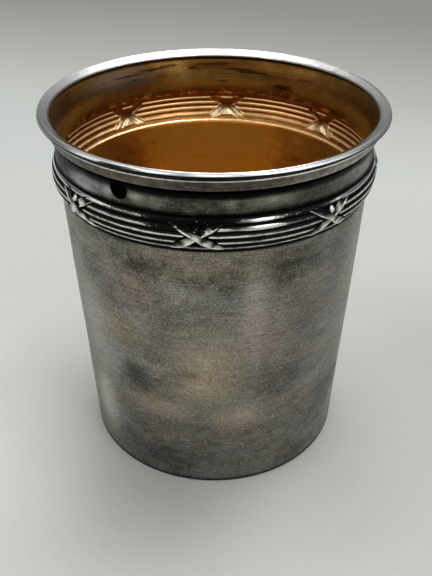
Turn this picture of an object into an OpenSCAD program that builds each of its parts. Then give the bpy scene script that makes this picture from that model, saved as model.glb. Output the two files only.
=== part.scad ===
// A silver beaker of the julep cup kind: a plain tapered wall, a band of reeds crossed by
// ribbon ties, a hollow neck, a lip moulding and a rolled bead on the lip. The inside is gilt.
// Millimetres, +Z up. The origin is the centre of the base, on the surface the cup stands on.
// The front is the -Y side. Angles round the cup run from the front towards +X.

/* [Body] */
// Outer diameter of the wall at the table
foot_d = 66.5; // [50:0.1:74]
// How far the top edge of the wall lies inside the waist of the neck
wall_step = 0.45; // [0:0.05:1.5]
// Height of the tapered wall
body_h = 70.2; // [40:0.1:120]
// Thickness of the silver sheet
wall = 0.8; // [0.6:0.05:1.4]
// Rounding of the outer edge of the foot
foot_round = 0.3; // [0.1:0.05:0.5]
// Thickness of the base disc
base_t = 1; // [0.6:0.05:2.5]

/* [Reed band] */
// Number of reeds in the band
reed_count = 5; // [3:1:9]
// Height of one reed
reed_pitch = 1.55; // [1.2:0.05:2.4]
// Height of the plain edge above and below the reeds
band_edge_h = 0.25; // [0.1:0.05:0.6]
// How far the band swells out from the line of the wall at its middle
band_proud = 1.4; // [0.8:0.05:2.4]
// Depth of the grooves between the reeds
groove_depth = 0.5; // [0.2:0.05:0.7]

/* [Ribbon ties] */
// Number of ties round the band
tie_count = 8; // [4:1:12]
// Length of a tie along the band
tie_l = 11; // [6:0.5:14]
// Width of a ribbon where the two cross
ribbon_waist_w = 1.5; // [0.8:0.1:2]
// Width of a ribbon at its spread ends
ribbon_end_w = 2.5; // [1:0.1:3]
// Thickness of a ribbon along its edges
ribbon_t = 0.3; // [0.2:0.05:0.6]
// Height of the ribbon's crowned middle above its edges
ribbon_crown = 0.15; // [0.05:0.05:0.4]
// Turn of the first tie from the front
tie_turn = -5.5; // [-22:0.5:22]

/* [Neck] */
// How far the waist of the neck is drawn in from the outside of the rim
neck_step = 3.15; // [1.5:0.05:5]
// Height of the plain neck between the reeds and the lip moulding
neck_h = 5.7; // [4:0.1:12]
// How much the foot of the neck spreads from its waist
neck_spread = 0.05; // [0:0.05:0.6]

/* [Lip] */
// Height of the lip moulding
lip_h = 2.6; // [1.2:0.05:4]
// How far the lip moulding stands out from the neck
lip_proud = 0.4; // [0.3:0.05:1.4]
// Height of the sunk line between the lip moulding and the rim bead
quirk_h = 0.5; // [0.3:0.05:1.5]
// Outer diameter of the rim bead
rim_d = 80; // [74:0.1:86]
// Width of the rim bead, seen from above
bead_w = 2.75; // [1.8:0.05:4]
// Height of the rim bead above its seat on the neck
bead_h = 2.05; // [1.4:0.05:3.4]
// Width of the round roll along the outer edge of the rim bead
roll_w = 1.1; // [0.8:0.05:1.6]
// Height of the roll
roll_h = 1.3; // [0.8:0.05:1.4]
// Height of the bead's inner edge above the seat: the inner side slopes from the roll down to it
inner_edge_h = 0.95; // [0.7:0.05:1.2]

/* [Punch mark] */
// Diameter of the worn round punch mark in the neck
mark_d = 3.6; // [1:0.1:3.8]
// Depth of the mark
mark_depth = 0.3; // [0.1:0.05:0.35]
// Turn of the mark from the front
mark_turn = -30.7; // [-180:0.1:180]

/* [Gilding] */
// Thickness that the gilt lining is drawn with
gilt_t = 0.12; // [0.06:0.02:0.3]

/* [Hidden] */
$fn = 180;

// Room for solder or gilding between two pieces that lie one inside the other
solder_gap = 0.03;
// Room between a ribbon and the crests of the reeds below it
ribbon_gap = 0.06;
// Small chamfer on the top edge of the lip moulding
lip_edge = 0.2;

// Height of the neck's waist, as a share of the neck's height
waist_share = 0.45;
// Width of the rim bead's flat seat, as a share of the bead's width
bead_seat_share = 0.5;
// Rounding of the rim bead's inner edge
inner_edge_round = 0.3;
// Direction that the bead's slope faces, and where the two rounds beside it end
slope_a = 118;
roll_start_a = -60;
inner_end_a = 200;
// Height of the mark's centre, as a share of the neck's height
mark_height_share = 0.56;
// Stretch over which the upper ribbon lifts to cross the lower one, as a share of its half length
lift_share = 0.5;
// Lift of the upper ribbon over the lower one, as a share of the ribbon's thickness
cross_share = 0.7;

// Steps of the curves
reed_steps = 8;
neck_steps = 8;
bead_steps = 14;
foot_steps = 4;
ribbon_steps = 14;

foot_r = foot_d / 2;
rim_r = rim_d / 2;
neck_r = rim_r - neck_step;
body_top_r = neck_r - wall_step;
neck_foot_r = neck_r + neck_spread;
band_h = reed_count * reed_pitch + 2 * band_edge_h;
band_z = body_h;
neck_z = band_z + band_h;
waist_z = neck_z + neck_h * waist_share;
lip_z = neck_z + neck_h;
lip_top_z = lip_z + lip_h;
seat_z = lip_top_z + quirk_h;
bead_r = rim_r - bead_w / 2;
top_z = seat_z + bead_h;
band_mid_z = band_z + band_h / 2;
mark_z = neck_z + neck_h * mark_height_share;

// Outer radius of the tapered wall at height z
function body_r(z) = foot_r + (body_top_r - foot_r) * z / body_h;

// Line that the band swells from, between the wall and the neck
function band_line_r(z) = body_top_r + (neck_foot_r - body_top_r) * (z - band_z) / band_h;

// Swell that the crests of all reeds follow: it dies away at the two edges of the band
function crest_r(z) = band_line_r(z) + band_proud * (1 - pow((z - band_mid_z) / (band_h / 2), 2));

// Point of the band's outline on reed number i, at the angle a from its lower groove
function reed_point(i, a, inset) =
    let (z = band_z + band_edge_h + reed_pitch * (i + 0.5 + sin(a) / 2))
    [crest_r(z) - groove_depth * (1 - cos(a)) - inset, z];

// Outline of the band from its foot to its top, moved inwards by inset
function band_line(inset) = concat(
    [[body_top_r - inset, band_z]],
    [
        for (i = [0 : reed_count - 1])
            for (k = [0 : reed_steps - 1])
                reed_point(i, -90 + 180 * k / reed_steps, inset)
    ],
    [reed_point(reed_count - 1, 90, inset), [neck_foot_r - inset, neck_z]]
);

// Outer radius of the neck at height z: it hollows to the waist and flares out to the bead
function neck_out_r(z) =
    z < waist_z
    ? neck_r + neck_spread * pow((waist_z - z) / (waist_z - neck_z), 2)
    : neck_r + (bead_r - neck_r) * pow((z - waist_z) / (seat_z - waist_z), 2);

// Outline of the neck from z0 to z1, moved inwards by inset
function neck_line(z0, z1, inset) = [
    for (k = [0 : neck_steps])
        let (z = z0 + (z1 - z0) * k / neck_steps)
        [neck_out_r(z) - inset, z]
];

function reversed(points) = [for (k = [len(points) - 1 : -1 : 0]) points[k]];

// A band of metal between an outer outline and the same outline moved inwards
module turned_shell(outer, inner) {
    rotate_extrude()
        polygon(concat(outer, reversed(inner)));
}

// Flat disc let into the foot of the wall
module base_disc() {
    color("slategray")
    rotate_extrude()
        polygon([
            [0, 0],
            [body_r(0) - wall - solder_gap, 0],
            [body_r(base_t) - wall - solder_gap, base_t],
            [0, base_t]
        ]);
}

// Plain tapered wall with a slightly rounded foot
module body_wall() {
    color("gray")
    turned_shell(
        concat(
            [
                for (k = [0 : foot_steps])
                    let (a = -90 + 90 * k / foot_steps)
                    [
                        body_r(foot_round) - foot_round * (1 - cos(a)),
                        foot_round * (1 + sin(a))
                    ]
            ],
            [[body_top_r, body_h]]
        ),
        [[foot_r - wall, 0], [body_top_r - wall, body_h]]
    );
}

// Strip of half-round reeds, struck through so that they show as flutes inside
module reed_band() {
    color("silver")
    turned_shell(band_line(0), band_line(wall));
}

// One point on the surface of a ribbon: s along the band, z up, h out from the crests
function on_band(s, z, h) =
    let (a = s / crest_r(band_mid_z) * 180 / PI, r = crest_r(z) + ribbon_gap + h)
    [r * sin(a), -r * cos(a), z];

// Ring of six points across a ribbon. The share u runs from 0 to 1 along it, hand is 1 or -1
function ribbon_ring(u, hand, lift) =
    let (
        v = 2 * u - 1,
        half_l = tie_l / 2,
        half_rise = (band_h - ribbon_end_w) / 2 - band_edge_h,
        s = v * half_l,
        z = band_mid_z - hand * half_rise * sin(90 * v),
        slope = -hand * half_rise * PI / 2 * cos(90 * v) / half_l,
        n = [-slope, 1] / norm([-slope, 1]),
        half_w = (ribbon_waist_w + (ribbon_end_w - ribbon_waist_w) * v * v) / 2,
        up = lift * max(0, 1 - pow(v / lift_share, 2)),
        edge = up + ribbon_t
    )
    [
        on_band(s - n.x * half_w, z - n.y * half_w, up),
        on_band(s - n.x * half_w, z - n.y * half_w, edge),
        on_band(s, z, edge + ribbon_crown),
        on_band(s + n.x * half_w, z + n.y * half_w, edge),
        on_band(s + n.x * half_w, z + n.y * half_w, up),
        on_band(s, z, up)
    ];

// One ribbon that crosses the reeds at a slant
module ribbon(hand, lift) {
    ring_n = 6;
    points = [
        for (k = [0 : ribbon_steps])
            each ribbon_ring(k / ribbon_steps, hand, lift)
    ];
    sides = [
        for (k = [0 : ribbon_steps - 1])
            for (j = [0 : ring_n - 1])
                let (
                    a = k * ring_n + j,
                    b = k * ring_n + (j + 1) % ring_n,
                    c = a + ring_n,
                    d = b + ring_n
                )
                each [[a, b, c], [b, d, c]]
    ];
    first_end = [for (j = [1 : ring_n - 2]) [0, j + 1, j]];
    last_ring = ribbon_steps * ring_n;
    last_end = [for (j = [1 : ring_n - 2]) [last_ring, last_ring + j, last_ring + j + 1]];
    polyhedron(points, concat(sides, first_end, last_end));
}

// Two crossed ribbons, one over the other, repeated round the band
module ribbon_ties() {
    color("gainsboro")
    for (i = [0 : tie_count - 1])
        rotate([0, 0, tie_turn + 360 * i / tie_count])
            union() {
                ribbon(1, ribbon_t * cross_share);
                ribbon(-1, 0);
            }
}

// Hollow neck that flares out under the rim bead, with the bare punch mark in it
module neck_collar() {
    dish_r = (pow(mark_d / 2, 2) + pow(mark_depth, 2)) / (2 * mark_depth);
    color("dimgray")
    difference() {
        turned_shell(
            concat(neck_line(neck_z, waist_z, 0), neck_line(waist_z, seat_z, 0)),
            concat(neck_line(neck_z, waist_z, wall), neck_line(waist_z, seat_z, wall))
        );
        rotate([0, 0, mark_turn])
            translate([0, -neck_out_r(mark_z) + mark_depth - dish_r, mark_z])
                sphere(r = dish_r);
    }
}

// Slanted moulding round the flare of the neck
module lip_moulding() {
    face = -solder_gap - lip_proud;
    color("darkgray")
    turned_shell(
        concat(
            neck_line(lip_z, lip_top_z - lip_edge, face),
            [[neck_out_r(lip_top_z) - face - lip_edge, lip_top_z]]
        ),
        neck_line(lip_z, lip_top_z, -solder_gap)
    );
}

// Points of an oval arc round c, with half sizes half, from the angle a0 to a1
function oval_arc(c, half, a0, a1) = [
    for (k = [0 : bead_steps])
        let (a = a0 + (a1 - a0) * k / bead_steps)
        [c.x + half.x * cos(a), c.y + half.y * sin(a)]
];

// Shaped wire on top of the neck: a roll outside, a slope inside, and a flat seat below
module rim_bead() {
    seat_half = bead_w / 2 * bead_seat_share;
    roll = [roll_w, roll_h] / 2;
    inner = [inner_edge_round, inner_edge_round];
    color("whitesmoke")
    rotate_extrude()
        polygon(concat(
            [[bead_r + seat_half, seat_z]],
            oval_arc([rim_r, top_z] - roll, roll, roll_start_a, slope_a),
            oval_arc([rim_r - bead_w, seat_z + inner_edge_h] + [inner.x, -inner.y], inner, slope_a, inner_end_a),
            [[bead_r - seat_half, seat_z]]
        ));
}

// Outline of the whole inside above the floor, moved inwards by inset
function inside_line(floor_z, inset) = concat(
    [
        [0, floor_z],
        [body_r(floor_z) - wall - inset, floor_z]
    ],
    band_line(wall + inset),
    neck_line(neck_z, waist_z, wall + inset),
    neck_line(waist_z, seat_z, wall + inset)
);

// Thin gold layer over the floor and the whole inside, up to the rim bead
module gilt_lining() {
    color("peru")
    turned_shell(
        inside_line(base_t + solder_gap, solder_gap),
        inside_line(base_t + solder_gap + gilt_t, solder_gap + gilt_t)
    );
}

base_disc();
body_wall();
reed_band();
ribbon_ties();
neck_collar();
lip_moulding();
rim_bead();
gilt_lining();
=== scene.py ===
# %% [markdown]
# # A silver julep cup with reeds, ribbons and a gilt inside
# The cup stands free. A tapered wall of sheet silver carries a raised band of five reeds, and
# eight ribbon ties cross the reeds. Above the band come a hollow neck, a slanted moulding and a
# round bead on the lip. The inside is gilt. This file dresses the exact model of the cup: the
# frame gives the places and sizes, and each cell below makes one piece or one finish.

# %% Load the frame
import math

import bmesh
import bpy
import numpy as np
from mathutils import Matrix, Vector


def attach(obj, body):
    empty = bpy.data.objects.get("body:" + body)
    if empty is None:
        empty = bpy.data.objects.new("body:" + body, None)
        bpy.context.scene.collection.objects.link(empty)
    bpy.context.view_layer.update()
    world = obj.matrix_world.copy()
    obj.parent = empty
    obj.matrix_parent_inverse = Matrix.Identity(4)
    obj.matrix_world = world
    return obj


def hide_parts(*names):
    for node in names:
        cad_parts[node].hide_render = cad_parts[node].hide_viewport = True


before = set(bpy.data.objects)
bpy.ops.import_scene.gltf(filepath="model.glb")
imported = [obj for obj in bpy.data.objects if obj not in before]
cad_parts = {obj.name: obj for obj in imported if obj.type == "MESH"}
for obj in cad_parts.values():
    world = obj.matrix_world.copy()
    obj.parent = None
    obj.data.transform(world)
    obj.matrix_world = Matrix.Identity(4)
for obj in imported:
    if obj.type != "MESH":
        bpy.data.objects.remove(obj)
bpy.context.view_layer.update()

# %% [markdown]
# ## The camera first
# The photograph looks down at the cup from close by, so the rim is a wide oval and the foot is
# clearly narrower. The camera's place and angles were found by fitting the rim and the base. They
# are numbers here, in metres and radians. The lens goes with a picture whose long side is 36 mm.

# %% Camera at the photograph's angle
CAMERA_PLACE = Vector((0.0, -0.16630, 0.14747))
CAMERA_DOWN, CAMERA_TURN, CAMERA_ROLL = 0.58509, 0.00271, 0.00084
FOCAL_PIXELS, LONG_SIDE_PIXELS, SENSOR_MM = 750.07, 576, 36.0

forward = Vector((math.sin(CAMERA_TURN) * math.cos(CAMERA_DOWN),
                  math.cos(CAMERA_TURN) * math.cos(CAMERA_DOWN), -math.sin(CAMERA_DOWN)))
level = forward.cross(Vector((0, 0, 1))).normalized()
upward = level.cross(forward)
right = level * math.cos(CAMERA_ROLL) + upward * math.sin(CAMERA_ROLL)
top = upward * math.cos(CAMERA_ROLL) - level * math.sin(CAMERA_ROLL)


def placed(name, data):
    """A new object at the origin of the scene."""
    thing = bpy.data.objects.new(name, data)
    bpy.context.scene.collection.objects.link(thing)
    return thing


lens = bpy.data.cameras.new("photo_camera")
lens.sensor_width = SENSOR_MM
lens.lens = FOCAL_PIXELS / LONG_SIDE_PIXELS * SENSOR_MM
camera = placed("photo_camera", lens)
camera_axes = Matrix((right, top, -forward)).transposed()
camera.matrix_world = Matrix.Translation(CAMERA_PLACE) @ camera_axes.to_4x4()
bpy.context.scene.camera = camera
print("lens", round(lens.lens, 2), "mm")

# %% [markdown]
# ## The measures of the cup
# They are the same as in the exact model, in millimetres. A silversmith would think in the same
# terms: how wide the foot is, how high the wall stands, how deep the reeds are struck.

# %% Measures in millimetres
MM, MM_IN_M = 0.001, 1000
FOOT_R, WALL_TOP_R, WALL_H, SHEET = 33.25, 36.4, 70.2, 0.8
NECK_R, NECK_FOOT_R, NECK_Z, NECK_TOP_Z = 36.85, 36.9, 78.45, 84.15
LIP_TOP_Z, SEAT_Z = 86.75, 87.25
RIM_R, RIM_TOP_Z, BEAD_W = 40.0, 89.3, 2.75
BEAD_R = RIM_R - BEAD_W / 2
WAIST_Z = NECK_Z + 0.45 * (NECK_TOP_Z - NECK_Z)
BAND_MID_Z, BAND_H, BAND_PROUD = 74.325, 8.25, 1.4
REEDS, REED_PITCH, GROOVE_DEPTH = 5, 1.55, 0.5
TIES, TIE_TURN = 8, math.radians(-5.5)
TIE_PITCH = 2 * math.pi / TIES
CREST_R = 38.05


def wall_r(z):
    """Outer radius of the tapered wall."""
    return FOOT_R + (WALL_TOP_R - FOOT_R) * z / WALL_H


def crest_r(z):
    """Radius that the tops of the reeds reach: the band swells between wall and neck."""
    line = WALL_TOP_R + (NECK_FOOT_R - WALL_TOP_R) * (z - WALL_H) / BAND_H
    return line + BAND_PROUD * (1 - ((z - BAND_MID_Z) / (BAND_H / 2)) ** 2)


def neck_r(z):
    """Outer radius of the hollow neck: almost upright at its foot, flaring to the bead."""
    if z < WAIST_Z:
        return NECK_R + (NECK_FOOT_R - NECK_R) * ((WAIST_Z - z) / (WAIST_Z - NECK_Z)) ** 2
    return NECK_R + (BEAD_R - NECK_R) * ((z - WAIST_Z) / (SEAT_Z - WAIST_Z)) ** 2


print("reeds reach", round(crest_r(BAND_MID_Z), 2), "mm from the axis")

# %% [markdown]
# ## Formulas as nodes
# Geometry trees and material trees both calculate with Math nodes. Wiring each by hand hides the
# formula, so this small class lets a formula be written as one: `wire * 2 + other` adds the nodes
# for it. A wire is one socket of one tree.

# %% A wire that calculates
class Wire:
    """One output socket in a node tree. Sums, products and functions of it add nodes."""

    def __init__(self, tree, socket):
        self.tree, self.socket = tree, socket

    def __add__(self, other):
        return calc("ADD", self, other)

    def __radd__(self, other):
        return calc("ADD", other, self)

    def __sub__(self, other):
        return calc("SUBTRACT", self, other)

    def __rsub__(self, other):
        return calc("SUBTRACT", other, self)

    def __mul__(self, other):
        return calc("MULTIPLY", self, other)

    def __rmul__(self, other):
        return calc("MULTIPLY", other, self)

    def __truediv__(self, other):
        return calc("DIVIDE", self, other)

    def __rtruediv__(self, other):
        return calc("DIVIDE", other, self)

    def __neg__(self):
        return calc("MULTIPLY", self, -1.0)


def plug(value, socket):
    """Puts a wire, or a plain value, into an input socket."""
    if isinstance(value, Wire):
        value.tree.links.new(value.socket, socket)
    else:
        socket.default_value = value


def calc(operation, *values):
    """A Math node on wires and numbers."""
    tree = next(v.tree for v in values if isinstance(v, Wire))
    node = tree.nodes.new("ShaderNodeMath")
    node.operation = operation
    for value, socket in zip(values, node.inputs):
        plug(value, socket)
    return Wire(tree, node.outputs[0])


def ease(wire, low, high, to_low=0.0, to_high=1.0):
    """Smooth step of a wire between two limits. With the limits swapped it falls instead."""
    node = wire.tree.nodes.new("ShaderNodeMapRange")
    node.interpolation_type = "SMOOTHSTEP"
    for value, socket in zip((wire, low, high, to_low, to_high), node.inputs):
        plug(value, socket)
    return Wire(wire.tree, node.outputs[0])


def larger(a, b):
    return calc("MAXIMUM", a, b)


def smaller(a, b):
    return calc("MINIMUM", a, b)


def size_of(a):
    return calc("ABSOLUTE", a)


# %% [markdown]
# ## Turning a blank
# A spinner presses a flat disc of metal over a turning form, and the result is a body of
# revolution. Here an outline of radius and height is carried round the axis. The outline is
# closed, so each piece is a real shell with an outside, an inside and edges. Where the outline
# meets the axis there is one point and a fan of triangles, so the pole is closed too. A third
# number in the outline marks the rows that will be struck later.

# %% Turned shells
def even_angles(count):
    """Angles in even steps round the cup."""
    return [2 * math.pi * k / count for k in range(count)]


def turned(name, outline, angles, bend=None):
    """A closed shell of revolution. The outline runs up on the outside and down on the inside."""
    points, rows, struck = [], [], []
    for r, z, *mark in outline:
        spots = angles if r > 0 else angles[:1]
        rows.append(range(len(points), len(points) + len(spots)))
        for a in spots:
            rr, zz = bend(r, z, a) if bend else (r, z)
            points.append((rr * math.sin(a) * MM, -rr * math.cos(a) * MM, zz * MM))
            struck.append(float(mark[0]) if mark else 0.0)
    faces = []
    for lower, upper in zip(rows, rows[1:] + rows[:1]):
        if len(lower) == 1 and len(upper) == 1:
            continue
        for k in range(len(angles)):
            n = (k + 1) % len(angles)
            corners = [row[i % len(row)] for row, i in ((lower, k), (lower, n), (upper, n), (upper, k))]
            faces.append(tuple(dict.fromkeys(corners)))
    mesh = bpy.data.meshes.new(name)
    mesh.from_pydata(points, [], faces)
    mesh.attributes.new("struck", "FLOAT", "POINT").data.foreach_set("value", struck)
    mesh.shade_smooth()
    return placed(name, mesh)


def arc(cx, cz, rx, rz, start, end, steps):
    """Points on an ellipse, with the angle in degrees from the outward direction upwards."""
    turn = [math.radians(start + (end - start) * k / steps) for k in range(steps + 1)]
    return [(cx + rx * math.cos(t), cz + rz * math.sin(t)) for t in turn]


def told(piece):
    """Prints what a piece came to: its triangles and the volume its faces close round."""
    mesh = piece.data
    mesh.calc_loop_triangles()
    corners = np.empty(len(mesh.vertices) * 3)
    mesh.vertices.foreach_get("co", corners)
    tris = np.empty(len(mesh.loop_triangles) * 3, dtype=np.int64)
    mesh.loop_triangles.foreach_get("vertices", tris)
    a, b, c = corners.reshape(-1, 3)[tris.reshape(-1, 3)].transpose(1, 0, 2)
    volume = np.einsum("ij,ij->i", a, np.cross(b, c)).sum() / 6
    print(f"{piece.name}: {len(mesh.loop_triangles)} triangles, {volume / MM ** 3:.0f} mm3")


# %% [markdown]
# ## The wall
# The wall is sheet silver rolled to a cone, soldered and planished, which means hammered smooth.
# A real wall is never quite even, so its radius drifts by a few hundredths of a millimetre. The
# drift dies out at the foot and under the band, where other pieces meet it.

# %% Wall
PLAIN_COLUMNS = 288
FOOT_ROUND, FOOT_FLARE = 0.3, 0.013
# Each wave's depth in mm, how many go round, how far they lean with each mm of height, and the start
WALL_WAVES = [(0.05, 3, 0.08, 0.0), (0.03, 5, -0.11, 1.0), (0.015, 11, 0.21, 0.0), (0.012, 17, -0.35, 0.0)]


def waves(table, a, z=0.0):
    """How far waves round the cup push a point outwards, in mm."""
    return sum(deep * math.sin(count * a + lean * z + start) for deep, count, lean, start in table)


def planished(r, z, a):
    """The wall's slight unevenness, which dies out at both ends."""
    hold = math.sin(math.pi * min(max(z / WALL_H, 0), 1))
    return r + hold * waves(WALL_WAVES, a, z), z


wall_rows = [0.3, 0.7, 1.5] + [3.0 + 1.45 * k for k in range(46)] + [69.4, 69.9, WALL_H]
wall_outline = [(FOOT_R - SHEET, 0.0)]
wall_outline += arc(FOOT_R - FOOT_ROUND, FOOT_ROUND, FOOT_ROUND + FOOT_FLARE, FOOT_ROUND, -90, 0, 5)[:-1]
wall_outline += [(wall_r(z), z) for z in wall_rows]
wall_outline += [(wall_r(z) - SHEET, z) for z in (WALL_H, 52.0, 35.0, 18.0)]
wall = turned("sheet_wall", wall_outline, even_angles(PLAIN_COLUMNS), planished)
told(wall)

# %% [markdown]
# ## Angles for the struck pieces
# The reeds run straight between the ties and need few columns there. The ribbons are small and
# need many. So the columns crowd together at each tie.

# %% Columns that crowd at the ties
TIE_SPAN = 14.0
OUTER_COLUMNS, LINING_COLUMNS = (72, 14), (58, 12)


def tie_angles(fine, coarse):
    """Angles round the cup, with fine steps across each tie and coarse ones between."""
    half = TIE_SPAN / 2 / CREST_R
    across = [-half + 2 * half * k / fine for k in range(fine)]
    between = [half + (TIE_PITCH - 2 * half) * k / coarse for k in range(coarse)]
    return [TIE_TURN + TIE_PITCH * i + a for i in range(TIES) for a in across + between]


print(len(tie_angles(*OUTER_COLUMNS)), "columns round the band")

# %% [markdown]
# ## Striking the band
# The real band was struck: a steel die pressed reeds and ribbons into a strip, and the same
# relief shows inside out on the back. The tree below does what the die does. It reads where each
# point lies, as the distance from the nearest tie and the height in the band, works out how high
# the relief stands there, and pushes the point outwards. Both the outer strip and the gilt
# lining pass through this one tree, with different depths.
#
# The rule for the reeds: each is a half round. The outer two run on through the ties. The inner
# three stop at the ribbons in pointed ends, and between the ribbon arms the ground lies low.

# %% The relief as a formula
ARM_RISE, ARM_REACH = 3.05, 6.4
ARM_HALF_WAIST, ARM_HALF_BELLY, ARM_HALF_TIP = 0.66, 0.95, 0.06
BELLY_AT, AWAY_FROM = 0.42, 0.97
# Half the soft step in mm where the inner reeds end, the slope beside an arm, and the arm's own edge
REED_STEP, GROUND_SLOPE, EDGE_OUT, EDGE_IN = 0.05, 0.55, 0.15, 0.1
# The least half width that is divided by, and the height of a ribbon's middle as a share of its edges'
LEAST_HALF, FACE_SHARE = 0.1, 0.75


def arm_half_width(q):
    """Half the width of a ribbon arm: q is 0 at the crossing and 1 at the tip."""
    if q < BELLY_AT:
        t = q / BELLY_AT
        return ARM_HALF_WAIST + (ARM_HALF_BELLY - ARM_HALF_WAIST) * t * t * (3 - 2 * t)
    t = min((q - BELLY_AT) / (1 - BELLY_AT), 1)
    return ARM_HALF_BELLY + (ARM_HALF_TIP - ARM_HALF_BELLY) * t ** 1.35


def relief(tree, s, z, pitch, mid, reeds, depth, ribbon_height):
    """Wires for the relief's height, its share of ribbon, its share of reed, and the open ground."""
    up = z - mid
    place = up / pitch + reeds / 2
    across = (place - calc("FLOOR", place) - 0.5) * 2
    round_top = calc("SQRT", larger(1 - across * across, 0.0))
    q = smaller(size_of(s) / ARM_REACH, 1.0)
    spread = calc("SINE", q * (math.pi / 2)) * ARM_RISE
    tilt = calc("COSINE", q * (math.pi / 2)) * (ARM_RISE * math.pi / 2 / ARM_REACH)
    square = calc("SQRT", tilt * tilt + 1)
    widening = ease(q, 0.0, BELLY_AT, ARM_HALF_WAIST, ARM_HALF_BELLY)
    half = smaller(widening, ease(q, BELLY_AT, 1.0, ARM_HALF_BELLY, ARM_HALF_TIP))
    beside = (spread - size_of(up)) / square - half
    open_side = ease(beside, 0.0, GROUND_SLOPE)
    inner_edge = (reeds / 2 - 1) * pitch
    outer_reed = ease(size_of(up), inner_edge - REED_STEP, inner_edge + REED_STEP)
    away = ease(q, AWAY_FROM, 1.0)
    kept = larger(larger(open_side, outer_reed), away)
    reed = round_top * depth * kept
    off_arm = size_of(size_of(up) - spread) / square
    on_arm = ease(off_arm, half + EDGE_OUT, half - EDGE_IN) * (1 - away)
    dish = off_arm / larger(half, LEAST_HALF)
    ribbon = (FACE_SHARE + (1 - FACE_SHARE) * dish * dish) * ribbon_height * on_arm
    return larger(reed, ribbon), on_arm, kept * round_top, 1 - kept


def geometry_tree(name, inputs):
    """A new geometry tree with named inputs. Returns the tree and its input and output nodes."""
    tree = bpy.data.node_groups.new(name, "GeometryNodeTree")
    tree.interface.new_socket("Geometry", in_out="INPUT", socket_type="NodeSocketGeometry")
    for label, kind in inputs:
        tree.interface.new_socket(label, in_out="INPUT", socket_type=kind)
    tree.interface.new_socket("Geometry", in_out="OUTPUT", socket_type="NodeSocketGeometry")
    return tree, tree.nodes.new("NodeGroupInput"), tree.nodes.new("NodeGroupOutput")


def end_tree(tree, geometry, given, result):
    """Closes a tree: copies become real and the metal goes on."""
    real = tree.nodes.new("GeometryNodeRealizeInstances")
    tree.links.new(geometry, real.inputs[0])
    dressed = tree.nodes.new("GeometryNodeSetMaterial")
    tree.links.new(real.outputs[0], dressed.inputs["Geometry"])
    tree.links.new(given.outputs["Metal"], dressed.inputs["Material"])
    tree.links.new(dressed.outputs[0], result.inputs[0])
    print(tree.name, "has", len(tree.nodes), "nodes")


def named_attribute(tree, name):
    """The wire of a number kept on the mesh."""
    node = tree.nodes.new("GeometryNodeInputNamedAttribute")
    node.data_type = "FLOAT"
    node.inputs["Name"].default_value = name
    return Wire(tree, node.outputs["Attribute"])


def stored(tree, geometry, name, value):
    """Keeps a wire on the mesh as an attribute, for the material to read."""
    node = tree.nodes.new("GeometryNodeStoreNamedAttribute")
    node.data_type, node.domain = "FLOAT", "POINT"
    node.inputs["Name"].default_value = name
    tree.links.new(geometry, node.inputs["Geometry"])
    plug(value, node.inputs["Value"])
    return node.outputs["Geometry"]


# %% [markdown]
# ## The die as a tree
# The tree's inputs have names and units, so the same die can strike another strip. It works out
# where each point lies, moves the point outwards, and keeps three numbers on the mesh for the
# finish: the share of ribbon, how far up its reed the point is, and the share of open ground.

# %% The striking tree
WAVER_SCALE, WAVER_DETAIL = 380.0, 2.0
STRIKE_INPUTS = [("Tie count", "NodeSocketInt"), ("First tie angle", "NodeSocketFloat"),
                 ("Band middle mm", "NodeSocketFloat"), ("Reed count", "NodeSocketInt"),
                 ("Reed pitch mm", "NodeSocketFloat"), ("Reed depth mm", "NodeSocketFloat"),
                 ("Ribbon height mm", "NodeSocketFloat"), ("Unevenness mm", "NodeSocketFloat"),
                 ("Metal", "NodeSocketMaterial")]
strike_tree, given, result = geometry_tree("strike_the_band", STRIKE_INPUTS)


def asked(label):
    """The wire of one input of the striking tree."""
    return Wire(strike_tree, given.outputs[label])


position = strike_tree.nodes.new("GeometryNodeInputPosition").outputs[0]
split = strike_tree.nodes.new("ShaderNodeSeparateXYZ")
strike_tree.links.new(position, split.inputs[0])
x, y, z = (Wire(strike_tree, split.outputs[k]) * MM_IN_M for k in range(3))
radius = calc("SQRT", x * x + y * y)
angle = calc("ARCTAN2", x, -y)
pitch_angle = 2 * math.pi / asked("Tie count")
turns = (angle - asked("First tie angle")) / pitch_angle
from_tie = (turns - calc("ROUND", turns)) * pitch_angle * CREST_R
height, ribbon_share, reed_share, open_ground = relief(
    strike_tree, from_tie, z, asked("Reed pitch mm"), asked("Band middle mm"),
    asked("Reed count"), asked("Reed depth mm"), asked("Ribbon height mm"))

waver = strike_tree.nodes.new("ShaderNodeTexNoise")
waver.inputs["Scale"].default_value = WAVER_SCALE
waver.inputs["Detail"].default_value = WAVER_DETAIL
strike_tree.links.new(position, waver.inputs["Vector"])
uneven = (Wire(strike_tree, waver.outputs[0]) - 0.5) * asked("Unevenness mm")
lifted = radius + (height + uneven) * named_attribute(strike_tree, "struck")

moved = strike_tree.nodes.new("ShaderNodeCombineXYZ")
for wire, socket in zip((x * lifted / radius, y * lifted / radius, z), moved.inputs):
    plug(wire / MM_IN_M, socket)
shell = given.outputs["Geometry"]
for label, wire in (("ribbon", ribbon_share), ("reed", reed_share), ("open", open_ground)):
    shell = stored(strike_tree, shell, label, wire)
shift = strike_tree.nodes.new("GeometryNodeSetPosition")
strike_tree.links.new(shell, shift.inputs["Geometry"])
strike_tree.links.new(moved.outputs[0], shift.inputs["Position"])
end_tree(strike_tree, shift.outputs[0], given, result)

# %% [markdown]
# ## From a tree to a plain mesh
# A modifier's inputs are set by each socket's identifier. Then the piece is evaluated once, its
# result becomes its own mesh, and the modifier goes, so that the piece stands on its own.

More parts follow.
